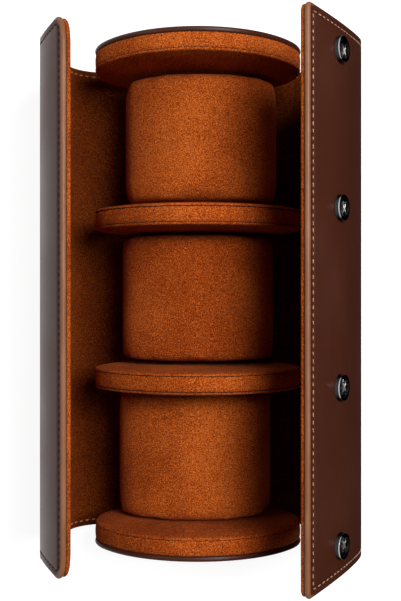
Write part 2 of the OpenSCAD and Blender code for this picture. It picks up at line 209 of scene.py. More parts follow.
class Tree:
    """A material's or group's nodes, with short calls to add and link them."""

    def __init__(self, nodes: bpy.types.NodeTree) -> None:
        """Keeps the tree that it adds to."""
        self.tree = nodes

    def add(self, kind: str, inputs: Inputs | None = None, **settings: object) -> Node:
        """Adds a node.

        Args:
            kind: Blender's type name of the node.
            inputs: Values or sockets for its inputs, by name or number.
            **settings: Properties to set on the node.

        Returns:
            The new node.
        """
        node = self.tree.nodes.new(kind)
        for key, value in settings.items():
            setattr(node, key, value)
        self.feed(node, inputs or {})
        return node

    def feed(self, node: Node, inputs: Inputs) -> None:
        """Links sockets to a node's inputs, or sets the inputs' values.

        Args:
            node: The node.
            inputs: Values or sockets for its inputs, by name or number.
        """
        for key, value in inputs.items():
            socket = node.inputs[key]
            if isinstance(value, Socket):
                self.tree.links.new(value, socket)
            else:
                socket.default_value = (*value, 1.0) if socket.type == "RGBA" else value

    def where(self) -> Socket:
        """Adds a Texture Coordinate node and returns a point's place in the object, in metres."""
        return self.add("ShaderNodeTexCoord").outputs["Object"]

    def axis(self, vector: Socket, name: str) -> Socket:
        """Adds a Separate XYZ node and returns one part of a vector."""
        return self.add("ShaderNodeSeparateXYZ", {0: vector}).outputs[name]

    def maths(self, operation: str, a: object, b: object, clamp: bool = False) -> Socket:
        """Adds a Math node and returns its result."""
        return self.add("ShaderNodeMath", {0: a, 1: b}, operation=operation, use_clamp=clamp).outputs[0]

    def times(self, a: object, b: object) -> Socket:
        """Multiplies two values."""
        return self.maths("MULTIPLY", a, b)

    def plus(self, a: object, b: object, clamp: bool = False) -> Socket:
        """Adds up two values, and keeps the sum from 0 to 1 if it is to be clamped."""
        return self.maths("ADD", a, b, clamp)

    def swing(self, value: Socket, width: float) -> Socket:
        """Turns a value from 0 to 1 into one that swings about 0 by half the width each way."""
        return self.times(self.maths("SUBTRACT", value, 0.5), width)

    def mix(self, factor: object, a: object, b: object) -> Socket:
        """Adds a colour Mix node and returns its result."""
        inputs = {"Factor": factor, "A": a, "B": b}
        return self.add("ShaderNodeMix", inputs, data_type="RGBA").outputs["Result"]

    def noise(self, where: Socket, scale: object, detail: float = 2.0, rough: float = 0.5) -> Socket:
        """Adds a Noise texture and returns its value."""
        inputs = {"Vector": where, "Scale": scale, "Detail": detail, "Roughness": rough}
        return self.add("ShaderNodeTexNoise", inputs).outputs[0]

    def ramp(self, value: Socket, low: float, high: float) -> Socket:
        """Stretches a value so that low becomes 0 and high becomes 1, with a soft start and end."""
        inputs = {"Value": value, "From Min": low, "From Max": high}
        return self.add("ShaderNodeMapRange", inputs, interpolation_type="SMOOTHSTEP").outputs["Result"]


class Group(Tree):
    """A shader node group as it is made, with named inputs and outputs."""

    def __init__(self, name: str, inputs: dict[str, Colour | float], outputs: dict[str, str]) -> None:
        """Makes the group.

        Args:
            name: Name of the group.
            inputs: Default value of each input; a value of three numbers is a colour.
            outputs: Socket type of each output.
        """
        super().__init__(bpy.data.node_groups.new(name, "ShaderNodeTree"))
        for label, value in inputs.items():
            kind = COLOUR if isinstance(value, tuple) else VALUE
            socket = self.tree.interface.new_socket(label, in_out="INPUT", socket_type=kind)
            socket.default_value = (*value, 1.0) if kind == COLOUR else value
        for label, kind in outputs.items():
            self.tree.interface.new_socket(label, in_out="OUTPUT", socket_type=kind)
        self.given = self.add("NodeGroupInput").outputs
        self.result = self.add("NodeGroupOutput")

    def scale(self, label: str) -> Socket:
        """The texture scale for a size in millimetres that an input gives."""
        return self.maths("DIVIDE", PER_METRE, self.given[label])


class Effects:
    """Shader node groups that several finishes share."""

    def __init__(self) -> None:
        """Builds each group once."""
        self.nap = self.make_nap()
        self.grain = self.make_grain()

    @staticmethod
    def make_nap() -> bpy.types.NodeTree:
        """Builds the nap of suede: fine curled tufts over soft brush marks.

        Returns:
            The group, with the nap's colour and height.
        """
        tones = {"Dark": (0.1, 0.02, 0.005), "Middle": (0.3, 0.08, 0.02), "Light": (0.5, 0.2, 0.05)}
        inputs = {**tones, "Tuft size": 0.6, "Mark size": 24.0}
        nap = Group("Suede nap", inputs, {"Color": COLOUR, "Height": VALUE})
        where, tuft_scale = nap.where(), nap.scale("Tuft size")
        tufts = nap.noise(where, tuft_scale, detail=1.0, rough=0.55)
        clumps = nap.noise(where, nap.times(tuft_scale, 0.3))
        marks = nap.noise(where, nap.scale("Mark size"), rough=0.45)
        lean = nap.swing(nap.ramp(marks, 0.3, 0.7), 0.3)
        patch = nap.swing(clumps, 0.35)
        tone = nap.plus(nap.ramp(tufts, 0.25, 0.75), nap.plus(lean, patch))
        low = nap.mix(nap.ramp(tone, 0.0, 0.55), nap.given["Dark"], nap.given["Middle"])
        colour = nap.mix(nap.ramp(tone, 0.45, 1.1), low, nap.given["Light"])
        nap.feed(nap.result, {"Color": colour, "Height": tufts})
        return nap.tree

    @staticmethod
    def make_grain() -> bpy.types.NodeTree:
        """Builds the grain of smooth leather: tiny pores, long soft creases and cloudy colour.

        Returns:
            The group, with the grain's colour, roughness and height.
        """
        colours = {"Color": (0.1, 0.03, 0.02), "Worn color": (0.2, 0.09, 0.06)}
        inputs = {**colours, "Pore size": 0.9, "Roughness": 0.4}
        grain = Group("Leather grain", inputs, {"Color": COLOUR, "Roughness": VALUE, "Height": VALUE})
        where, scale = grain.where(), grain.scale("Pore size")
        cells = {"Vector": where, "Scale": scale, "Randomness": 1.0}
        pores = grain.add("ShaderNodeTexVoronoi", cells, feature="SMOOTH_F1").outputs["Distance"]
        fine = grain.noise(where, grain.times(scale, 1.7))
        stretched = grain.add("ShaderNodeMapping", {"Vector": where, "Scale": (1.0, 0.12, 1.0)}).outputs[0]
        streaks = grain.noise(stretched, 420.0, detail=3.0, rough=0.6)
        clouds = grain.noise(where, 28.0, detail=3.0)
        worn_patches = grain.times(grain.ramp(clouds, 0.45, 0.8), 0.35)
        worn_streaks = grain.times(grain.ramp(streaks, 0.5, 0.8), 0.25)
        worn = grain.plus(worn_patches, worn_streaks)
        fine_relief = grain.plus(grain.times(pores, 0.6), grain.times(fine, 0.4))
        grain.feed(grain.result, {
            "Color": grain.mix(worn, grain.given["Color"], grain.given["Worn color"]),
            "Roughness": grain.plus(grain.given["Roughness"], grain.swing(clouds, 0.25), clamp=True),
            "Height": grain.plus(fine_relief, grain.times(streaks, 0.35)),
        })
        return grain.tree


# ---------------------------------------------------------------- finishes


class Surface(Tree):
    """A material's nodes round its Principled shader."""

    def __init__(self, material: bpy.types.Material, effects: Effects) -> None:
        """Keeps the material's shader and the shared effects."""
        super().__init__(material.node_tree)
        self.shader, self.effects = self.tree.nodes["Principled BSDF"], effects

    def set(self, inputs: dict[str, object]) -> None:
        """Feeds the shader."""
        self.feed(self.shader, inputs)

    def effect(self, group: bpy.types.NodeTree, inputs: dict[str, object]) -> bpy.types.NodeOutputs:
        """Places a shared effect with this material's values and returns its outputs."""
        return self.add("ShaderNodeGroup", inputs, node_tree=group).outputs

    def bump(self, height: Socket, depth: float) -> None:
        """Adds a Bump node of a depth in millimetres."""
        bump = self.add("ShaderNodeBump", {"Height": height, "Distance": depth * MM})
        self.set({"Normal": bump.outputs[0]})


@dataclass(frozen=True)
class Finish:
    """A surface finish: a Principled shader with values that are the same all over.

    Attributes:
        name: Name of the material.
        colour: Base colour.
        roughness: Roughness.
        metallic: Metallic.
        sheen: Weight of the sheen.
        sheen_colour: Tint of the sheen.
        sheen_roughness: Roughness of the sheen.
        specular: Specular level.
    """

    name: str
    colour: Colour
    roughness: float = 0.5
    metallic: float = 0.0
    sheen: float = 0.0
    sheen_colour: Colour = WHITE
    sheen_roughness: float = 0.45
    specular: float = 0.5

    def make(self, effects: Effects) -> bpy.types.Material:
        """Makes the material.

        Args:
            effects: The node groups that finishes share.

        Returns:
            The material.
        """
        material = bpy.data.materials.new(self.name)
        material.use_nodes = True
        material.diffuse_color = (*self.colour, 1.0)
        surface = Surface(material, effects)
        surface.set({
            "Base Color": self.colour,
            "Roughness": self.roughness,
            "Metallic": self.metallic,
            "Sheen Weight": self.sheen,
            "Sheen Tint": self.sheen_colour,
            "Sheen Roughness": self.sheen_roughness,
            "Specular IOR Level": self.specular,
        })
        self.paint(surface)
        return material

    def paint(self, surface: Surface) -> None:
        """Adds the nodes that each kind of finish has of its own."""
        raise NotImplementedError


@dataclass(frozen=True)
class Suede(Finish):
    """Suede: a speckled nap in three tones.

    Attributes:
        dark: Tone between the fibres.
        light: Tone of the brushed fibre tips.
        tuft: Size of the tufts in millimetres.
        marks: Size of the brush marks in millimetres.
        depth: Depth of the nap in millimetres.
        unbrushed: Share of the colour that is left at the case's floor, as painted shade that darkens the nap
            downwards.
        unbrushed_z: Heights in metres where that painted shade is darkest and where it ends.
    """

    dark: Colour = (0.05, 0.01, 0.002)
    light: Colour = (0.5, 0.2, 0.05)
    tuft: float = 0.45
    marks: float = 24.0
    depth: float = 0.25
    # Painted shade towards the case's floor; 1 leaves the nap's colour as it is.
    unbrushed: float = 1.0
    unbrushed_z: tuple[float, float] = (0.004, 0.03)

    def paint(self, surface: Surface) -> None:
        """Paints the shared nap, with painted shade towards the floor where it is set.

        Args:
            surface: The material's nodes.
        """
        tones = {"Dark": self.dark, "Middle": self.colour, "Light": self.light}
        nap = surface.effect(surface.effects.nap, {**tones, "Tuft size": self.tuft, "Mark size": self.marks})
        colour = nap["Color"]
        # Painted shade: the nap's colour is darkened towards the case's floor, by height.
        if self.unbrushed < 1:
            height = surface.axis(surface.where(), "Z")
            share = surface.times(surface.ramp(height, *self.unbrushed_z), 1 - self.unbrushed)
            colour = surface.mix(surface.plus(share, self.unbrushed), BLACK, colour)
        surface.set({"Base Color": colour})
        surface.bump(nap["Height"], self.depth)


@dataclass(frozen=True)
class Leather(Finish):
    """Smooth leather with pores and cloudy wear.

    Attributes:
        worn: Colour where the surface is rubbed.
        pore: Size of the pores in millimetres.
        depth: Depth of the grain in millimetres.
    """

    worn: Colour = (0.2, 0.1, 0.07)
    pore: float = 0.8
    depth: float = 0.05

    def paint(self, surface: Surface) -> None:
        """Paints the shared grain.

        Args:
            surface: The material's nodes.
        """
        colours = {"Color": self.colour, "Worn color": self.worn}
        inputs = {**colours, "Pore size": self.pore, "Roughness": self.roughness}
        grain = surface.effect(surface.effects.grain, inputs)
        surface.set({"Base Color": grain["Color"], "Roughness": grain["Roughness"]})
        surface.bump(grain["Height"], self.depth)


@dataclass(frozen=True)
class Thread(Finish):
    """Sewing thread with a fine twist.

    Attributes:
        fleck: Colour of the paler strands.
        strand_scale: Scale of the strands' noise.
        depth: Depth of the twist in millimetres.
    """

    fleck: Colour = (0.6, 0.4, 0.3)
    strand_scale: float = 2600.0
    depth: float = 0.08

    def paint(self, surface: Surface) -> None:
        """Paints the strands.

        Args:
            surface: The material's nodes.
        """
        strands = surface.noise(surface.where(), self.strand_scale)
        surface.set({"Base Color": surface.mix(surface.ramp(strands, 0.35, 0.7), self.colour, self.fleck)})
        surface.bump(strands, self.depth)


@dataclass(frozen=True)
class Metal(Finish):
    """Plated metal with faint scratches.

    Attributes:
        scratch: How far the roughness varies.
        mark_scale: Scale of the scratches' noise.
        depth: Depth of the scratches in millimetres.
    """

    scratch: float = 0.15
    mark_scale: float = 900.0
    depth: float = 0.01

    def paint(self, surface: Surface) -> None:
        """Paints the scratches.

        Args:
            surface: The material's nodes.
        """
        marks = surface.noise(surface.where(), self.mark_scale, detail=4.0, rough=0.7)
        rough = surface.plus(surface.swing(marks, self.scratch * 2), self.roughness, clamp=True)
        surface.set({"Roughness": rough})
        surface.bump(marks, self.depth)


SUEDE = Suede(
    "Rust suede", (0.30, 0.052, 0.007), 0.95, sheen=0.02, sheen_colour=(1.0, 0.5, 0.3), specular=0.03,
    dark=(0.15, 0.020, 0.0023), light=(0.54, 0.130, 0.020),
)
# A darker copy of the rust suede that the lining shows at its free edge: painted shade inside the case, with
# more painted shade towards the floor.
SHADED_LINING_SUEDE = Suede(
    "Lining suede", (0.255, 0.040, 0.0048), 0.95, sheen=0.03, sheen_colour=(1.0, 0.5, 0.3), specular=0.03,
    dark=(0.125, 0.015, 0.0016), light=(0.47, 0.105, 0.014), marks=30.0, unbrushed=0.25,
)
PILLOW_SUEDE = Suede(
    "Pillow suede", (0.285, 0.047, 0.0058), 0.95, sheen=0.04, sheen_colour=(1.0, 0.5, 0.35), specular=0.04,
    dark=(0.13, 0.015, 0.0016), light=(0.57, 0.140, 0.021), tuft=0.38, marks=34.0, depth=0.4,
)
LEATHER = Leather("Brown leather", (0.046, 0.0112, 0.0052), 0.42, specular=0.15, worn=(0.066, 0.020, 0.011))
RUBBED = Leather(
    "Rubbed leather", (0.13, 0.042, 0.017), 0.42, specular=0.2, worn=(0.26, 0.12, 0.06), pore=0.6,
)
EDGE = Leather(
    "Burnished edge", (0.19, 0.072, 0.029), 0.40, specular=0.2, worn=(0.38, 0.19, 0.10), pore=0.5, depth=0.08,
)
PALE_THREAD = Thread(
    "Tan thread", (0.24, 0.10, 0.055), 0.7, sheen=0.1, specular=0.2, fleck=(0.50, 0.30, 0.20),
)
# Dark thread of the plates' seams, and on the left flap a darker copy of the flaps' thread: painted shade.
DARK_AND_SHADED_THREAD = Thread("Dark thread", (0.022, 0.006, 0.003), 0.8, specular=0.08, fleck=(0.06, 0.018, 0.008))
RUST_THREAD = Thread("Rust thread", (0.30, 0.10, 0.03), 0.8, specular=0.1, fleck=(0.58, 0.30, 0.15))
CHROME = Metal("Bright rim", (0.80, 0.80, 0.81), 0.10, 1.0, scratch=0.05)
GUNMETAL = Metal("Black nickel", (0.045, 0.045, 0.048), 0.25, 1.0, scratch=0.08)
WIRE = Metal("Spring wire", (0.75, 0.75, 0.74), 0.15, 1.0, scratch=0.06)
STEEL = Metal("Plated steel", (0.35, 0.34, 0.33), 0.35, 1.0)


class Dresser:
    """Builds each finish once and puts it on pieces."""

    def __init__(self) -> None:
        """Builds the shared effects."""
        self.effects = Effects()
        self.made: dict[str, bpy.types.Material] = {}

    def material(self, finish: Finish) -> bpy.types.Material:
        """The material of a finish, made on first use."""
        if finish.name not in self.made:
            self.made[finish.name] = finish.make(self.effects)
        return self.made[finish.name]

    def dress(self, obj: Piece, *finishes: Finish) -> None:
        """Gives a piece its materials in slot order, and keeps the slots that its faces already use.

        Args:
            obj: The piece.
            *finishes: Finish of each slot.
        """
        slots = obj.data.materials
        for n, finish in enumerate(finishes):
            if n < len(slots):
                slots[n] = self.material(finish)
            else:
                slots.append(self.material(finish))

    def dress_node(self, name: str, finish: Finish) -> None:
        """Gives every slot of a CAD node one material.

        Args:
            name: Name of the node.
            finish: Its finish.
        """
        node = frame["nodes"][name]
        for found in [node, *node.children_recursive]:
            for slot in found.material_slots:
                slot.material = self.material(finish)


# ---------------------------------------------------------------- wrap


class Side(Enum):
    """The two sides of the wrap, with their direction along X."""

    LEFT = -1
    RIGHT = 1

    @property
    def word(self) -> str:
        """The side's word in the names of pieces, nodes and bodies."""
        return self.name.lower()


class Part(Enum):
    """The two parts of half the wrap, each with its word in names."""

    SIDE = "side"
    FLAP = "flap"


@dataclass(frozen=True)
class WrapPath:
    """Half of the wrap's middle surface, from the centre line to a flap's edge, in millimetres.

    Attributes:
        side: Which half it is.
        bend_r: Radius of the bend at the edge of the floor.
        bend_turn: Turn of that bend in degrees.
        wall_l: Length of the wall's long curve.
        tip_r: Radius of the curled edge.
        tip_l: Length of the curled edge.
        fold: Distance of the fold line from the centre line, along the path.
        corner_u: Reach of the flap's rounded corners along the path.
        corner_v: Their reach along the case.
        waist: How far the ends pull in between fold and edge.
        stretch: How far the front end reaches out at the free edge.
        floor_half: Half width of the flat floor.
        wall_r: Radius of the wall's long curve.
        half_t: Half the thickness of the wrap.
        hinge: Distance of the floor's hinge line from the centre line.
    """

    side: Side
    bend_r: float
    bend_turn: float
    wall_l: float
    tip_r: float
    tip_l: float
    fold: float
    corner_u: float
    corner_v: float
    waist: float
    stretch: float = 0.0
    floor_half: float = 40.0
    wall_r: float = 100.0
    half_t: float = 1.9
    hinge: float = 24.0

    def stretches(self) -> Profile:
        """Radius and length of each stretch, 0 for the radius of a flat one."""
        bend = (self.bend_r, math.radians(self.bend_turn) * self.bend_r)
        return [(0.0, self.floor_half), bend, (self.wall_r, self.wall_l), (self.tip_r, self.tip_l)]

    def length(self) -> float:
        """Length of the path."""
        return sum(length for _, length in self.stretches())

    def pose(self, u: float) -> Place:
        """Place and heading at a distance along the path.

        Args:
            u: Distance from the centre line in millimetres.

        Returns:
            Distance outwards, height and heading in radians.
        """
        x, z, heading = 0.0, self.half_t, 0.0
        for radius, length in self.stretches():
            run = min(u, length)
            if radius:
                turned = heading + run / radius
                x += radius * (math.sin(turned) - math.sin(heading))
                z -= radius * (math.cos(turned) - math.cos(heading))
                heading = turned
            else:
                x += run
            u -= run
            if u <= 0:
                break
        return x, z, heading

    def point(self, u: float, v: float, d: float) -> Vector:
        """Finds a point of the wrap.

        Args:
            u: Distance along the path.
            v: Place along the case.
            d: Distance inwards from the middle surface.

        Returns:
            The point in millimetres.
        """
        x, z, heading = self.pose(u)
        x, z = x - d * math.sin(heading), z + d * math.cos(heading)
        return Vector((self.side.value * x + CENTRE_X, v, z))

    def pull(self, u: float) -> float:
        """How far the ends have pulled in at u."""
        share = (u - self.fold) / (self.length() - self.corner_u - self.fold)
        return self.waist * 4 * share * (1 - share) if 0 < share < 1 else 0.0

    def reach(self, u: float) -> float:
        """How far the front end reaches out at u."""
        return self.stretch * max((u - self.fold) / (self.length() - self.fold), 0.0)

    def outward(self, u: float) -> Vector:
        """Direction out of the outer face at u."""
        heading = self.pose(u)[2]
        return Vector((self.side.value * math.sin(heading), 0.0, -math.cos(heading)))


# The wrap's middle line and half length, and the height of the floor that the plates stand on.
CENTRE_X = sum(corner[0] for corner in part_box("floor_leather")) / 2 / MM
HALF_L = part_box("floor_leather")[1][1] / MM
FLOOR_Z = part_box("floor_lining")[1][2] / MM
LEFT_PATH = WrapPath(
    Side.LEFT, bend_r=17.0, bend_turn=74.0, wall_l=59.048, tip_r=58.6, tip_l=20.4,
    fold=109.404, corner_u=5.0, corner_v=9.0, waist=1.6,
)
RIGHT_PATH = WrapPath(
    Side.RIGHT, bend_r=22.0, bend_turn=80.0, wall_l=64.886, tip_r=84.0, tip_l=27.4,
    fold=109.004, corner_u=1.8, corner_v=2.4, waist=2.4, stretch=1.9,
)


@dataclass(kw_only=True)
class Strip:
    """A stretch of half the wrap, up to the flap's free edge or to where the next stretch begins.

    Attributes:
        name: Name of the piece.
        path: Half of the wrap that it lies on.
        start: Where it starts along the path.
        end: Where it ends.
        free_end: Whether the end is the flap's free edge.
        inset: How far its outline lies inside the wrap's free edges.
        least_corner: Least reach of its corners.
    """

    name: str
    path: WrapPath
    start: float
    end: float
    free_end: bool
    inset: float = 0.0
    least_corner: float = 0.2

    def corners(self, behind: float = 0.0) -> list[float]:
        """Works out the rounded corners of an outline.

        Args:
            behind: How far it lies inside the strip's own outline.

        Returns:
            The corners' reach along the path and along the case.
        """
        full = (self.path.corner_u, self.path.corner_v)
        return [max(reach - self.inset - behind, self.least_corner) for reach in full]


@dataclass(kw_only=True)
class Panel(Strip):
    """A stretch of one layer of the wrap, as a closed sheet with rounded free edges.

    Its points lie on a grid of distances along the path and places along the case, in levels from the
    outer face to the inner one. Its material slots are the face, the rounded edge and the rubbed strip.

    Attributes:
        low: Outer face, as an offset from the middle surface.
        high: Inner face.
        rim: Reach of the rounding of its free edges.
        groove: Depth of the channel that the stitches lie in, negative on the inner face.
        dark_steps: Steps of the rounding, on the inner side, that keep the face's finish.
        stitch_inset: Distance of the stitches from the free edges.
        groove_w: Half width of their channel.
        rubbed_w: Width of the rubbed strip beside the free edge.
        round_steps: Steps of the rounding.
        near: Distances of grid lines from a free edge, where they are close together.
        u_step: Distance of the other grid lines along the path.
        v_step: Their distance along the case.
    """

    low: float
    high: float
    rim: float
    groove: float
    dark_steps: int = 0
    stitch_inset: float = 2.8
    groove_w: float = 0.7
    rubbed_w: float = 0.5
    round_steps: int = 6
    near: tuple[float, ...] = (0.0, 0.5, 1.0, 1.5, 2.0, 2.4, 2.8, 3.2, 3.7, 4.5, 6.0)
    u_step: float = 2.0
    v_step: float = 3.5

    def __post_init__(self) -> None:
        """Sets out the grid."""
        *near, inner = self.near
        self.parts = MeshParts()
        self.us = spread(self.start, self.end - (inner if self.free_end else 0.0), self.u_step)
        if self.free_end:
            self.us += [self.end - n for n in reversed(near)]
        self.vs = [n - HALF_L for n in near] + spread(inner - HALF_L, HALF_L - inner, self.v_step)
        self.vs += [HALF_L - n for n in reversed(near)]

    def outline(self, grid_u: float, grid_v: float, behind: float) -> Place:
        """Maps a place of the grid to the sheet.

        Args:
            grid_u: Distance along the path, on the sheet without its inset.
            grid_v: Signed distance along the case from its middle, on the sheet without its inset.
            behind: How far this level of points lies behind the sheet's full outline.

        Returns:
            Distance along the path, place along the case, and distance from the nearest free edge.
        """
        u = grid_u
        half = HALF_L - self.inset - behind
        if self.free_end:
            end = self.end - self.inset - behind
            u = self.start + (grid_u - self.start) * (end - self.start) / (self.end - self.start)
            half -= self.path.pull(u) - (self.path.reach(u) if grid_v < 0 else 0.0)
            corner_u, corner_v = self.corners(behind)
            into = (u - (end - corner_u)) / corner_u
            if into > 0:
                half -= corner_v * (1 - math.sqrt(max(1 - into * into, 0.0)))
        v = grid_v / HALF_L * half
        edge = half - abs(v)
        if self.free_end:
            edge = min(edge, end - u)
        return u, v, edge

    def on_rubbed_edge(self, grid_u: float, grid_v: float) -> bool:
        """Tells whether a place lies in the rubbed strip beside the flap's free edge.

        Args:
            grid_u: Distance along the path, on the sheet without its inset.
            grid_v: Signed distance along the case from its middle.

        Returns:
            Whether it does.
        """
        u, _, edge = self.outline(grid_u, grid_v, 0.0)
        at_end = self.end - u < self.rubbed_w
        return self.free_end and (at_end or (edge < self.rubbed_w and u > self.end - self.path.corner_u))

    def level(self, k: int) -> dict[tuple[int, int], int]:
        """Adds a level of points: the whole grid on a face, and its free edges between the faces.

        Args:
            k: Number of the level, from the outer face.

        Returns:
            The number of the point at each place of the grid.
        """
        turn = math.pi * k / self.round_steps
        d = (self.low + self.high) / 2 - (self.high - self.low) / 2 * math.cos(turn)
        behind = self.rim * (1 - math.sin(turn))
        on_face = k in (0, self.round_steps)
        grooved = on_face and (k == 0) == (self.groove > 0)
        numbers = {}
        for i, grid_u in enumerate(self.us):
            for j, grid_v in enumerate(self.vs):
                on_edge = j in (0, len(self.vs) - 1) or (i == len(self.us) - 1 and self.free_end)
                if on_face or on_edge:
                    u, v, edge = self.outline(grid_u, grid_v, behind)
                    off = (edge + behind - self.stitch_inset) / self.groove_w
                    dip = self.groove * math.exp(-(off ** 2)) if grooved else 0.0
                    numbers[i, j] = self.parts.add([self.path.point(u, v, d + dip)])[0]
        return numbers

    def edges(self, numbers: dict[tuple[int, int], int]) -> list[list[int]]:
        """Lists a level's points along the free edges.

        Args:
            numbers: The level's points.

        Returns:
            One row round a flap, or the two rows of a side.
        """
        last_u, last_v = len(self.us) - 1, len(self.vs) - 1
        front, back = ([numbers[i, j] for i in range(last_u + 1)] for j in (0, last_v))
        if not self.free_end:
            return [front, back]
        return [front + [numbers[last_u, j] for j in range(1, last_v)] + back[::-1]]

    def build(self) -> Piece:
        """Builds the sheet.

        Returns:
            The piece, with three empty material slots.
        """
        faces = self.parts.faces
        levels = [self.level(k) for k in range(self.round_steps + 1)]
        low, high = levels[0], levels[-1]
        rubbed = set()
        for numbers in (low, high):
            for i, us in enumerate(pairwise(self.us)):
                for j, vs in enumerate(pairwise(self.vs)):
                    if numbers is low and self.on_rubbed_edge(sum(us) / 2, sum(vs) / 2):
                        rubbed.add(len(faces))
                    faces.append((numbers[i, j], numbers[i + 1, j], numbers[i + 1, j + 1], numbers[i, j + 1]))
        first = len(faces)
        for lower, upper in pairwise(levels):
            for a, b in zip(self.edges(lower), self.edges(upper)):
                self.parts.bridge(a, b, closed=False)
        rounding = range(first, len(faces))
        for i in [0] if self.free_end else [0, len(self.us) - 1]:
            for j in range(len(self.vs) - 1):
                faces.append((low[i, j], low[i, j + 1], high[i, j + 1], high[i, j]))
            for j in (0, len(self.vs) - 1):
                faces.append(tuple(numbers[i, j] for numbers in levels))
        obj = self.parts.build(self.name)
        corner = self.path.point(self.end - self.path.corner_u, 0.0, 0.0) * MM
        along = (self.path.point(self.end, 0.0, 0.0) * MM - corner).normalized()
        bare = rounding[:len(rounding) // self.round_steps * (self.round_steps - self.dark_steps)]
        mark_slots(obj, [
            2 if n in rubbed else int(self.free_end and n in bare and (face.center - corner).dot(along) > 0)
            for n, face in enumerate(obj.data.polygons)
        ])
        return obj


@dataclass(kw_only=True)
class StitchRow(Strip):
    """Stitches along the free edges of half the wrap.

    Attributes:
        d: Offset of the threads from the middle surface.
        out: 1 on the outer face, -1 on the inner one.
        inset: Distance of the row from the free edges.
        least_corner: Least reach of its corners.
        pitch: Distance between stitches.
        radius: Radius of the thread.
        flat: Height of a stitch as a share of its width.
        gap: Bare leather between two stitches.
        fine: Distance between points of the row's line.
        turn_step: Degrees between its points round a corner.
    """

    d: float
    out: int = 1
    inset: float = 2.8
    least_corner: float = 0.5
    pitch: float = 2.6
    radius: float = 0.26
    flat: float = 0.7
    gap: float = 1.15
    fine: float = 0.25
    turn_step: float = 5.0

    def route(self) -> Profile:
        """Lays out the row's line.

        Returns:
            Points (u, v), a fine step apart.
        """
        half = HALF_L - self.inset
        if not self.free_end:
            return [(u, half) for u in spread(self.start, self.end, self.fine)]
        end = self.end - self.inset
        corner_u, corner_v = self.corners()
        line = [(u, -half + self.path.pull(u)) for u in spread(self.start, end - corner_u, self.fine)]
        for degrees in spread(0.0, 90.0, self.turn_step)[1:]:
            t = math.radians(degrees)
            u = end - corner_u + corner_u * math.sin(t)
            line.append((u, -half + self.path.pull(u) + corner_v - corner_v * math.cos(t)))
        line += [(end, v) for v in spread(line[-1][1], 0.0, self.fine)[1:]]
        front = [(u, v * (1 + self.path.reach(u) / HALF_L)) for u, v in line]
        return front + [(u, -v) for u, v in reversed(line[:-1])]

    def build(self) -> Piece:
        """Builds the row.

        Returns:
            The piece, one small rounded bar a stitch.
        """
        line = self.route()
        runs = (math.hypot(b[0] - a[0], b[1] - a[1]) for a, b in pairwise(line))
        lengths = list(accumulate(runs, initial=0.0))
        count = max(1, round(lengths[-1] / self.pitch))
        pitch = lengths[-1] / count
        parts = MeshParts()
        for n in range(count):
            ends = n * pitch + self.gap / 2, (n + 1) * pitch - self.gap / 2
            (ua, va), (ub, vb) = (line[bisect_left(lengths, s, hi=len(lengths) - 1)] for s in ends)
            up = self.path.outward((ua + ub) / 2) * self.out
            for mirror in (1,) if self.free_end else (1, -1):
                a, b = (self.path.point(u, v * mirror, self.d) for u, v in ((ua, va), (ub, vb)))
                capsule(parts, a, b, self.radius, up, self.flat)
        return parts.build(self.name, THREAD_CREASE)


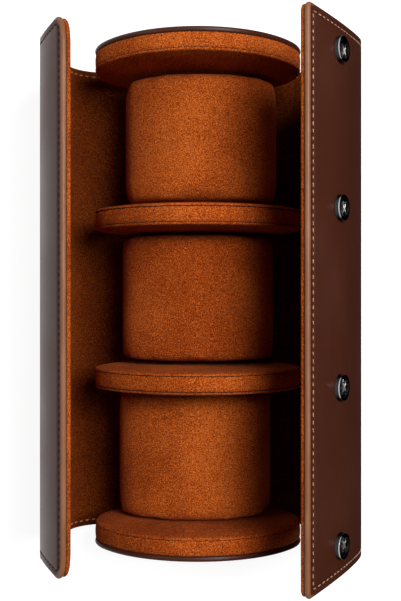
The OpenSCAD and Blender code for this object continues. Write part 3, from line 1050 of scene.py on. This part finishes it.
@dataclass
class Wrap:
    """The leather wrap with its board and lining, split where no joint bends it.

    Attributes:
        dresser: Gives the finishes.
        outer: Outer face of the leather, as an offset from the middle surface.
        seam: Where the lining meets the board.
        inner: Inner face of the lining.
        sinks: How deep the threads' middle lies in the outer face and in the inner one.
        cut_shift: How far the cut lies past the middle between the hinge line and the fold.
        bend_reach: Reach of the span that bend works out on each side of a hinge line.
    """

    dresser: Dresser
    outer: float = -1.9
    seam: float = 0.3
    inner: float = 1.9
    sinks: tuple[float, float] = (0.12, 0.1)
    cut_shift: float = 6.0
    bend_reach: float = 9.0

    def build(self) -> None:
        """Builds both parts of both halves."""
        for path in (LEFT_PATH, RIGHT_PATH):
            cut = (path.hinge + path.fold) / 2 + self.cut_shift
            self.part(path, Part.SIDE, 0.0, cut)
            self.part(path, Part.FLAP, cut, path.length())

    def part(self, path: WrapPath, part: Part, start: float, end: float) -> None:
        """Builds the sheets and stitches of one part of the wrap.

        Args:
            path: Half of the wrap.
            part: Which part of it.
            start: Where the part starts along the path.
            end: Where it ends.
        """
        name = f"{path.side.word}_{part.value}"
        span = {"path": path, "start": start, "end": end, "free_end": part is Part.FLAP}
        cover = Panel(
            name=f"{name}_cover", **span, low=self.outer, high=self.seam, rim=0.9, groove=0.45, dark_steps=2,
        ).build()
        suede = Panel(
            name=f"{name}_suede", **span, low=self.seam, high=self.inner, rim=0.5, groove=-0.2, inset=0.35,
        ).build()
        outside = StitchRow(name=f"{name}_stitches", **span, d=self.outer + self.sinks[0]).build()
        inside = StitchRow(
            name=f"{name}_inner_stitches", **span, d=self.inner - self.sinks[1],
            out=-1, pitch=3.4, radius=0.3, gap=1.5,
        ).build()
        self.dresser.dress(cover, LEATHER, EDGE, RUBBED)
        # The lining's faces take a darker copy of the suede on its rounded free edge: painted shade.
        self.dresser.dress(suede, SHADED_LINING_SUEDE, SUEDE, SHADED_LINING_SUEDE)
        # Both flaps have the same thread; the left flap's stitches take a darker copy of it, painted shade.
        self.dresser.dress(outside, PALE_THREAD if path.side is Side.RIGHT else DARK_AND_SHADED_THREAD)
        self.dresser.dress(inside, RUST_THREAD)
        for piece in (cover, suede, outside, inside):
            self.bend(piece, path, part)
        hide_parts(f"{name}_leather", f"{name}_board")
        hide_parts(f"{name}_lining")
        if name == "left_side":
            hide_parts("floor_leather", "floor_board")
            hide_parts("floor_lining")
        log.info("wrap: %s", name)

    def bend(self, piece: Piece, path: WrapPath, part: Part) -> None:
        """Finds the span round a piece's hinge line and bakes the piece's transform; nothing makes the piece
        bend.

        Args:
            piece: The piece.
            path: Half of the wrap that it lies on.
            part: Which part of it.
        """
        side, flap = f"{path.side.word}_side", f"{path.side.word}_flap"
        line, bodies = (path.hinge, ("base", side)) if part is Part.SIDE else (path.fold, (side, flap))
        start = path.point(line - self.bend_reach, 0.0, 0.0) * MM
        end = path.point(line + self.bend_reach, 0.0, 0.0) * MM
        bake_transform(piece)


# ---------------------------------------------------------------- plates and pillows


@dataclass(frozen=True)
class Arch:
    """An arched outline of tangent arcs, in millimetres: foot corners, shoulders and crown.

    Attributes:
        half: Half the width.
        height: Height.
        foot: Radius of the lower corners.
        shoulder: Radius of the shoulders.
        angle: Angle of the line where a shoulder meets the crown, in degrees.
        foot_steps: Steps along the flat foot.
        least_r: Least radius of an inset arc.
    """

    half: float
    height: float
    foot: float
    shoulder: float
    angle: float
    foot_steps: int = 12
    least_r: float = 0.05

    def ring(self, inset: float, step: float = 1.6) -> list[Vector]:
        """Points round the outline, inset, with X across and Z up from the foot.

        Args:
            inset: How far inside the outline the ring lies.
            step: Distance between points on the full outline.

        Returns:
            The ring, counter-clockwise seen from -Y.
        """
        foot_x, shoulder_x = self.half - self.foot, self.half - self.shoulder
        crown = self.shoulder + shoulder_x / math.cos(math.radians(self.angle))
        crown_z = self.height - crown
        shoulder_z = crown_z + shoulder_x * math.tan(math.radians(self.angle))
        arcs = (
            (foot_x, self.foot, self.foot, -90.0, 0.0),
            (shoulder_x, shoulder_z, self.shoulder, 0.0, self.angle),
            (0.0, crown_z, crown, self.angle, 180.0 - self.angle),
            (-shoulder_x, shoulder_z, self.shoulder, 180.0 - self.angle, 180.0),
            (-foot_x, self.foot, self.foot, 180.0, 270.0),
        )
        ring: list[Vector] = []
        for number, (x, z, radius, first, last) in enumerate(arcs):
            count = max(2, round(radius * math.radians(last - first) / step))
            reach = max(radius - inset, self.least_r)
            for i in range(1 if 0 < number < 4 else 0, count + 1):
                a = math.radians(first + (last - first) * i / count)
                ring.append(Vector((x + reach * math.cos(a), 0.0, z + reach * math.sin(a))))
        stations = (-foot_x + 2 * foot_x * i / self.foot_steps for i in range(1, self.foot_steps))
        return ring + [Vector((x, 0.0, inset)) for x in stations]


def rolled(inset: float, y: float, radius: float, facing: int, steps: int = 6) -> Profile:
    """Profile of an edge that rolls over onto a face.

    Args:
        inset: Inset of the edge itself.
        y: Place of the face.
        radius: Radius of the roll.
        facing: 1 if the face looks to +Y, -1 if to -Y.
        steps: Number of steps of the roll.

    Returns:
        Rings from the edge to the face.
    """
    turns = [math.pi / 2 * i / steps for i in range(steps + 1)]
    return [(inset + radius * (1 - math.cos(t)), y - facing * radius * (1 - math.sin(t))) for t in turns]


@dataclass
class Slab:
    """A closed body lofted through rings of an arched outline.

    Attributes:
        name: Name of the piece.
        arch: Outline.
        profile: Rings as (inset, place along Y), from the middle of one face to that of the other.
        base_z: Height of its foot above the floor.
        lean: How far its crown leans along Y.
        shift: How far it stands to the right of the middle.
        shrink: Sizes of the rings inside a face, as shares of its outline.
    """

    name: str
    arch: Arch
    profile: Profile
    base_z: float = 0.0
    lean: float = 0.0
    shift: float = 0.0
    shrink: tuple[float, ...] = (0.8, 0.55, 0.3, 0.1)

    def inner(self, place: tuple[float, float]) -> list[list[Vector]]:
        """Shrinks a face's last ring towards the face's middle.

        Args:
            place: Inset of that ring and its place along Y.

        Returns:
            The rings, from the outer one.
        """
        inset, y = place
        ring = self.arch.ring(inset)
        middle, along = Vector((0.0, 0.0, self.arch.height / 2)), Vector((0.0, y, 0.0))
        return [[middle + (p - middle) * share + along for p in ring] for share in self.shrink]

    def build(self) -> Piece:
        """Builds the slab.

        Returns:
            The piece.
        """
        rings = self.inner(self.profile[0])[::-1]
        rings += [[p + Vector((0.0, y, 0.0)) for p in self.arch.ring(inset)] for inset, y in self.profile]
        rings += self.inner(self.profile[-1])
        parts = MeshParts()
        offset = Vector((CENTRE_X + self.shift, 0.0, FLOOR_Z + self.base_z))
        rows = [
            parts.add(p + offset + Vector((0.0, self.lean * p.z / self.arch.height, 0.0)) for p in ring)
            for ring in rings
        ]
        for a, b in pairwise(rows):
            parts.bridge(a, b)
        parts.faces += [tuple(rows[0]), tuple(rows[-1])]
        return parts.build(self.name)


PLATE = Arch(half=42.0, height=65.0, foot=28.0, shoulder=26.0, angle=31.2)
PILLOW = Arch(half=31.5, height=44.7, foot=16.0, shoulder=17.0, angle=52.0)
# How far each plate's crown leans, and how far each pillow stands to the right and leans.
PLATES = {"front_end": 0.9, "front_divider": -0.9, "back_divider": 0.0, "back_end": 2.1}
PILLOWS = {"front_pillow": (-1.3, -0.3), "middle_pillow": (0.0, 0.0), "back_pillow": (1.3, 1.5)}


@dataclass(frozen=True)
class PlateFace:
    """What covers one face of a plate, in millimetres.

    Attributes:
        finish: Its finish.
        slot: Its material slot.
        depth: Its thickness.
        lip: Inset and height of the point just off the seam.
        roll: Inset of the rolled edge, its drop below the face, and its radius.
        crown: Inset and drop of each ring on the face.
    """

    finish: Finish
    slot: str
    depth: float
    lip: tuple[float, float]
    roll: tuple[float, float, float]
    crown: tuple[tuple[float, float], ...]


PADDING = PlateFace(
    SUEDE, "suede", depth=2.0, lip=(0.2625, 0.35), roll=(0.1, 0.9, 0.95),
    crown=((2.4, 0.66), (4.5, 0.36), (7.5, 0.1), (11.0, 0.0)),
)
END_LEATHER = PlateFace(
    LEATHER, "leather", depth=2.0, lip=(0.25, 0.3), roll=(0.0, 0.0, 0.9), crown=((3.0, 0.0), (9.0, 0.0)),
)


@dataclass
class Plate:
    """An end plate or divider, which stands on the floor.

    Attributes:
        dresser: Gives the finishes.
        name: Its name.
        lean: How far its crown leans towards the back.
        half_t: Half the thickness of its core.
        seam_inset: How deep the seams lie between band and faces.
        root_inset: How deep the hidden edges lie behind them.
        band: Inset and distance from the seam of each ring on half of the crowned band.
        crown_inset: Inset of the band's middle ring.
        seam_ring: Inset of the seam's stitches and the distance between the points of their line.
        pitch: Distance between two stitches.
        stitch_share: Length of a stitch as a share of that distance.
        thread_r: Radius of its thread.
    """

    dresser: Dresser
    name: str
    lean: float
    half_t: float = 3.0
    seam_inset: float = 0.75
    root_inset: float = 3.0
    band: tuple[tuple[float, float], ...] = ((0.35, 0.35), (0.22, 1.0), (0.12, 2.0))
    crown_inset: float = 0.1
    seam_ring: tuple[float, float] = (0.55, 0.5)
    pitch: float = 2.4
    stitch_share: float = 0.92
    thread_r: float = 0.27

    def __post_init__(self) -> None:
        """Finds the plate's middle along Y."""
        low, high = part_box(f"{self.name}_board")
        self.y = (low[1] + high[1]) / 2 / MM

    def build(self) -> None:
        """Builds the band, the seams and what covers the faces."""
        self.rim()
        if self.name.endswith("end"):
            inward = 1 if self.name.startswith("front") else -1
            self.face("face", inward, PADDING, f"{self.name}_pad")
            self.face("leather", -inward, END_LEATHER, f"{self.name}_facing")
        else:
            self.face("front_face", -1, PADDING, f"{self.name}_pads")
            self.face("back_face", 1, PADDING, None)
        log.info("plate: %s", self.name)

    def place(self, obj: Piece, finish: Finish, slot: str, node: str | None) -> None:
        """Dresses a piece, rides it on the base and hides the CAD node that it stands for.

        Args:
            obj: The piece.
            finish: Its finish.
            slot: Its material slot; not used.
            node: The CAD node that it stands for, if any.
        """
        self.dresser.dress(obj, finish)
        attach(obj, "base")
        if node:
            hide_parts(node)

    def face(self, word: str, facing: int, kind: PlateFace, node: str | None) -> None:
        """Builds what covers a face, with an edge that rolls over to the seam.

        Args:
            word: The piece's name after the plate's.
            facing: 1 if the face looks to +Y, -1 if to -Y.
            kind: What covers it.
            node: The CAD node that the piece stands for, if any.
        """
        root = self.y + facing * self.half_t
        face = root + facing * kind.depth
        inset, drop, radius = kind.roll
        edge = [(self.root_inset, root), (self.seam_inset, root), (kind.lip[0], root + facing * kind.lip[1])]
        edge += rolled(inset, face - facing * drop, radius, facing)
        edge += [(ring, face - facing * lower) for ring, lower in kind.crown]
        obj = Slab(f"{self.name}_{word}", PLATE, edge, lean=self.lean).build()
        self.place(obj, kind.finish, kind.slot, node)

    def rim(self) -> None:
        """Builds the slightly crowned band round the rim, with its two seams."""
        half = [(self.root_inset, 0.0), (self.seam_inset, 0.0), *self.band]
        crown = [(inset, self.y - self.half_t + off) for inset, off in half] + [(self.crown_inset, self.y)]
        crown += [(inset, self.y + self.half_t - off) for inset, off in reversed(half)]
        obj = Slab(f"{self.name}_rim", PLATE, crown, lean=self.lean).build()
        self.place(obj, SUEDE, "suede", f"{self.name}_band")
        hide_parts(f"{self.name}_board")
        self.seam("seam_front", self.y - self.half_t)
        self.seam("seam_back", self.y + self.half_t)

    def seam(self, word: str, y: float) -> None:
        """Builds the dark stitches that lie in a seam round the rim.

        Args:
            word: The piece's name after the plate's.
            y: Place of the seam.
        """
        ring = [p + Vector((0.0, self.lean / PLATE.height * p.z, 0.0)) for p in PLATE.ring(*self.seam_ring)]
        parts = MeshParts()
        offset = Vector((CENTRE_X, y, FLOOR_Z))
        run, start = 0.0, ring[0]
        for a, b in pairwise(ring):
            run += (b - a).length
            if run >= self.pitch:
                up = Vector((b.x, 0.0, b.z - PLATE.height / 2)).normalized()
                stitch = (b - start) * self.stitch_share
                capsule(parts, start + offset, start + offset + stitch, self.thread_r, up)
                run, start = 0.0, b
        self.place(parts.build(f"{self.name}_{word}", THREAD_CREASE), DARK_AND_SHADED_THREAD, "suede", None)


@dataclass
class Pillow:
    """A pillow, blown up as cloth from a slightly smaller shape.

    Attributes:
        dresser: Gives the finishes.
        name: Its name.
        shift: How far it stands to the right.
        lean: How far its crown leans towards the back.
        length: Its length.
        smaller: How much smaller the first shape is on every side.
        lift: Height of its foot above the floor.
        roll: Radius of its rolled ends.
        end_inset: How far the flat of an end lies inside the roll.
        ring_step: Distance between two rings of the first shape.
        voxel: Size of the remesh.
        frames: Steps of the simulation.
        pressure: Pressure of the air inside.
        stiffness: Stiffness of the cloth in tension and compression.
        swell: How far a point may move when it is blown up.
        fill: How tightly it is filled; not used.
    """

    dresser: Dresser
    name: str
    shift: float
    lean: float
    length: float = 51.733
    smaller: float = 0.5
    lift: float = 0.3
    roll: float = 2.5
    end_inset: float = 1.5
    ring_step: float = 2.5
    voxel: float = 4.0
    frames: int = 20
    pressure: float = 4.0
    stiffness: float = 12.0
    swell: float = 1.6
    fill: float = 0.9

    def build(self) -> None:
        """Builds the pillow."""
        low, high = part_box(f"{self.name}_cover")
        obj = self.shape((low[1] + high[1]) / 2 / MM)
        self.inflate(obj)
        self.fit(obj, low, high)
        self.dresser.dress(obj, PILLOW_SUEDE)
        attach(obj, self.name)
        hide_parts(f"{self.name}_cover", f"{self.name}_foam")
        log.info("pillow: %s", self.name)

    def shape(self, y: float) -> Piece:
        """Builds the pillow's first shape, a little smaller than the space that it fills.

        Args:
            y: Middle of the pillow along Y.

        Returns:
            The piece.
        """
        half = self.length / 2 - self.smaller
        front = [(self.roll + self.smaller + self.end_inset, -half)]
        front += rolled(self.smaller, -half, self.roll, -1)[::-1]
        middle = spread(-half + self.roll, half - self.roll, self.ring_step)[1:-1]
        profile = front + [(self.smaller, off) for off in middle]
        profile += [(inset, -off) for inset, off in reversed(front)]
        rings = [(inset, y + off) for inset, off in profile]
        return Slab(self.name, PILLOW, rings, base_z=self.lift, lean=self.lean, shift=self.shift).build()

    def inflate(self, obj: Piece) -> None:
        """Blows the pillow up as cloth and keeps the result, with a cap on how far a point moves.

        Args:
            obj: The pillow's first shape.
        """
        scene = bpy.context.scene
        remesh = obj.modifiers.new("even", "REMESH")
        remesh.mode = "VOXEL"
        remesh.voxel_size = self.voxel * MM
        self.apply(obj)
        before = [v.co.copy() for v in obj.data.vertices]
        cloth = obj.modifiers.new("air", "CLOTH")
        cloth.settings.use_pressure = True
        cloth.settings.uniform_pressure_force = self.pressure
        cloth.settings.effector_weights.gravity = 0.0
        cloth.settings.tension_stiffness = cloth.settings.compression_stiffness = self.stiffness
        cloth.collision_settings.use_collision = False
        cloth.point_cache.frame_start, cloth.point_cache.frame_end = 1, self.frames
        for step in range(1, self.frames + 1):
            scene.frame_set(step)
        evaluated = obj.evaluated_get(bpy.context.evaluated_depsgraph_get())
        after = [v.co.copy() for v in evaluated.data.vertices]
        obj.modifiers.remove(cloth)
        scene.frame_set(1)
        limit = self.swell * MM
        for vertex, old, new in zip(obj.data.vertices, before, after):
            move = new - old
            vertex.co = old + move * (limit / move.length if move.length > limit else 1.0)
        self.keep_inside(obj, before)
        smooth = obj.modifiers.new("round", "SUBSURF")
        smooth.levels = smooth.render_levels = 1
        self.apply(obj)
        for face in obj.data.polygons:
            face.use_smooth = True

    def keep_inside(self, obj: Piece, before: list[Vector]) -> None:
        """Keeps the pillow's ends off the plates and its foot off the floor.

        Args:
            obj: The pillow.
            before: Its points before it was blown up.
        """
        low, high = min(v.y for v in before), max(v.y for v in before)
        y = (low + high - self.lean * MM) / 2
        half = self.length / 2 * MM
        foot = (FLOOR_Z + self.lift) * MM
        for vertex in obj.data.vertices:
            at = y + self.lean * (vertex.co.z - foot) / PILLOW.height
            vertex.co.y = min(max(vertex.co.y, at - half), at + half)
            vertex.co.z = max(vertex.co.z, foot)

    @staticmethod
    def fit(obj: Piece, low: Sequence[float], high: Sequence[float]) -> None:
        """Gives the blown-up pillow the width and height that it is sewn to.

        Args:
            obj: The pillow.
            low: Lower corner of its box in the case, in metres.
            high: Upper corner of that box.
        """
        xs = [v.co.x for v in obj.data.vertices]
        zs = [v.co.z for v in obj.data.vertices]
        middle, foot = (min(xs) + max(xs)) / 2, min(zs)
        wide = (high[0] - low[0]) / (max(xs) - min(xs))
        tall = (high[2] - foot) / (max(zs) - foot)
        log.info("pillow: fitted by %.3f and %.3f", wide, tall)
        for vertex in obj.data.vertices:
            vertex.co.x = middle + (vertex.co.x - middle) * wide
            vertex.co.z = foot + (vertex.co.z - foot) * tall

    @staticmethod
    def apply(obj: Piece) -> None:
        """Applies every modifier of a piece.

        Args:
            obj: The piece.
        """
        evaluated = obj.evaluated_get(bpy.context.evaluated_depsgraph_get())
        mesh = bpy.data.meshes.new_from_object(evaluated)
        obj.modifiers.clear()
        obj.data = mesh


# ---------------------------------------------------------------- snaps


@dataclass
class Snaps:
    """The snap fasteners: sockets on the right flap, studs on the left.

    Attributes:
        dresser: Gives the finishes.
        from_edge: Distance of the sockets from the flap's free edge.
        places: Places of the sockets along the case.
        profile: Half section of a socket as radius and height above the leather.
        bright: Numbers of the first and last profile points of the bright rim.
        sides: Sides of a socket.
    """

    dresser: Dresser
    from_edge: float = 20.4
    places: tuple[float, ...] = (-87.4, -31.667, 31.667, 87.4)
    profile: tuple[tuple[float, float], ...] = (
        (1.7, 0.02), (1.7, 0.4), (1.9, 0.45), (3.8, 0.45), (3.9, 0.5), (3.9, 1.32), (3.5, 1.36), (3.44, 1.5),
        (3.5, 1.64), (3.7, 1.7), (4.0, 1.74), (4.3, 1.8), (4.55, 1.72), (4.7, 1.45), (4.7, 0.25), (4.8, 0.02),
    )
    bright: tuple[int, int] = (8, 13)
    sides: int = 48

    def build(self) -> None:
        """Builds the sockets and dresses the springs, eyelets, studs and caps."""
        self.sockets()
        nodes = {"snap_studs": GUNMETAL, "socket_springs": WIRE, "socket_eyelets": STEEL, "stud_caps": STEEL}
        for node, finish in nodes.items():
            self.dresser.dress_node(node, finish)
            log.info("node: %s", node)

    def sockets(self) -> None:
        """Builds the four sockets as one piece, turned from the profile."""
        u = RIGHT_PATH.length() - self.from_edge
        up, along = RIGHT_PATH.outward(u), Vector((0.0, 1.0, 0.0))
        across = up.cross(along)
        turns = [math.tau * n / self.sides for n in range(self.sides)]
        spokes = [along * math.cos(t) + across * math.sin(t) for t in turns]
        parts = MeshParts()
        bright = set()
        for y in self.places:
            foot = RIGHT_PATH.point(u, y, -RIGHT_PATH.half_t)
            rows = [parts.add(foot + up * h + spoke * r for spoke in spokes) for r, h in self.profile]
            for n, (a, b) in enumerate(pairwise([*rows, rows[0]])):
                first = len(parts.faces)
                parts.bridge(a, b)
                if self.bright[0] <= n < self.bright[1]:
                    bright.update(range(first, len(parts.faces)))
        obj = parts.build("sockets")
        mark_slots(obj, [int(n in bright) for n in range(len(parts.faces))])
        self.dresser.dress(obj, GUNMETAL, CHROME)
        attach(obj, "right_flap")
        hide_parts("snap_sockets")
        log.info("snaps: %d sockets", len(self.places))


# ---------------------------------------------------------------- studio


@dataclass
class Studio:
    """Camera, floor and lamps, with places and sizes in millimetres.

    Attributes:
        camera_place: The camera's place; it looks straight down.
        view_angle: Its vertical angle of view in degrees.
        clip_start: Nearest distance that the camera sees, in metres.
        lamps: Name, place, side and power in watts of each square lamp.
        aim: Where the lamps look.
        ambient: Strength of the room's even light.
        floor_half: Half the side of the floor, in metres.
        floor_drop: How far the floor lies under the case, in metres.
        floor_glow: How bright the camera sees the floor without its shadow.
        floor_shade: How much light the seen floor takes, which gives it its shadow.
        floor_fade: Distance from the middle over which the floor grows dark in glossy rays, in metres.
        room_fade: The same for the room, as a share of its width.
    """

    camera_place: Place = (-0.4, -1.0, 433.8)
    view_angle: float = 34.26
    clip_start: float = 0.01
    lamps: tuple[tuple[str, Place, float, float], ...] = (
        ("Right softbox", (320.0, 200.0, 830.0), 360.0, 10.8),
        ("Left softbox", (-700.0, 160.0, 560.0), 420.0, 1.8),
    )
    aim: Place = (0.0, 0.0, 30.0)
    ambient: float = 0.035
    floor_half: float = 3.0
    floor_drop: float = 0.0002
    floor_glow: float = 0.89
    floor_shade: float = 0.26
    floor_fade: float = 0.12
    room_fade: float = 0.5

    def build(self) -> None:
        """Builds the studio."""
        scene = bpy.context.scene
        scene.view_settings.view_transform = "Standard"
        self.camera(scene)
        self.floor()
        self.world(scene)
        for name, place, size, power in self.lamps:
            self.lamp(name, place, size, power)

    def camera(self, scene: bpy.types.Scene) -> None:
        """Adds the camera.

        Args:
            scene: The scene that takes it.
        """
        data = bpy.data.cameras.new("Camera")
        data.sensor_fit = "VERTICAL"
        data.angle = math.radians(self.view_angle)
        data.clip_start = self.clip_start
        camera = bpy.data.objects.new("Camera", data)
        camera.location = Vector(self.camera_place) * MM
        scene.collection.objects.link(camera)
        scene.camera = camera

    def lamp(self, name: str, place: Place, size: float, power: float) -> None:
        """Adds a square lamp that looks at the middle of the case.

        Args:
            name: Name of the lamp.
            place: Its place.
            size: Its side.
            power: Its power in watts.
        """
        data = bpy.data.lights.new(name, "AREA")
        data.shape = "SQUARE"
        data.size = size * MM
        data.energy = power
        lamp = bpy.data.objects.new(name, data)
        lamp.location = Vector(place) * MM
        lamp.rotation_euler = (Vector(self.aim) * MM - lamp.location).to_track_quat("-Z", "Y").to_euler()
        bpy.context.scene.collection.objects.link(lamp)

    def floor(self) -> None:
        """Adds the pale floor, which the camera sees as white with a faint shadow."""
        turns = ((-1, -1), (1, -1), (1, 1), (-1, 1))
        corners = [Vector((x * self.floor_half, y * self.floor_half, -self.floor_drop)) for x, y in turns]
        floor = new_piece("Floor", corners, [(0, 1, 2, 3)])
        material = bpy.data.materials.new("Pale floor")
        material.use_nodes = True
        material.node_tree.nodes.clear()
        tree = Tree(material.node_tree)
        rays = tree.add("ShaderNodeLightPath").outputs
        seen = tree.plus(rays["Is Camera Ray"], rays["Is Glossy Ray"], clamp=True)
        seen = tree.plus(seen, rays["Is Transmission Ray"], clamp=True)
        across = tree.axis(tree.add("ShaderNodeNewGeometry").outputs["Position"], "X")
        right = tree.ramp(across, -self.floor_fade, self.floor_fade)
        dimmed = tree.times(right, rays["Is Glossy Ray"])
        strength = tree.times(tree.maths("SUBTRACT", 1.0, dimmed), self.floor_glow)
        shade = tree.mix(dimmed, (self.floor_shade,) * 3, BLACK)
        glow = tree.add("ShaderNodeEmission", {"Color": WHITE, "Strength": strength}).outputs[0]
        shaded = tree.add("ShaderNodeBsdfDiffuse", {"Color": shade}).outputs[0]
        plain = tree.add("ShaderNodeBsdfDiffuse", {"Color": PALE}).outputs[0]
        white = tree.add("ShaderNodeAddShader", {0: glow, 1: shaded}).outputs[0]
        either = tree.add("ShaderNodeMixShader", {0: seen, 1: plain, 2: white}).outputs[0]
        tree.add("ShaderNodeOutputMaterial", {"Surface": either})
        floor.data.materials.append(material)

    def world(self, scene: bpy.types.Scene) -> None:
        """Adds the even light of the room, which the camera sees as white.

        Args:
            scene: The scene that takes it.
        """
        world = bpy.data.worlds.new("Room")
        world.use_nodes = True
        scene.world = world
        tree = Tree(world.node_tree)
        rays = tree.add("ShaderNodeLightPath").outputs
        across = tree.axis(tree.add("ShaderNodeTexCoord").outputs["Generated"], "X")
        side = tree.maths("SUBTRACT", 1.0, tree.ramp(across, -self.room_fade, self.room_fade))
        seen = tree.plus(rays["Is Camera Ray"], rays["Is Transmission Ray"], clamp=True)
        seen = tree.plus(seen, tree.times(rays["Is Glossy Ray"], side), clamp=True)
        strength = tree.plus(tree.times(seen, 1.0 - self.ambient), self.ambient)
        tree.feed(world.node_tree.nodes["Background"], {"Color": WHITE, "Strength": strength})


def main() -> None:
    """Builds the case, dresses it and lights it."""
    logging.basicConfig(level=logging.INFO, format="%(name)s: %(message)s")
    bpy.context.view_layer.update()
    dresser = Dresser()
    Studio().build()
    Wrap(dresser).build()
    for name, lean in PLATES.items():
        Plate(dresser, name, lean).build()
    for name, (shift, lean) in PILLOWS.items():
        Pillow(dresser, name, shift, lean).build()
    Snaps(dresser).build()
    bpy.context.view_layer.update()


if __name__ == "__main__":
    main()
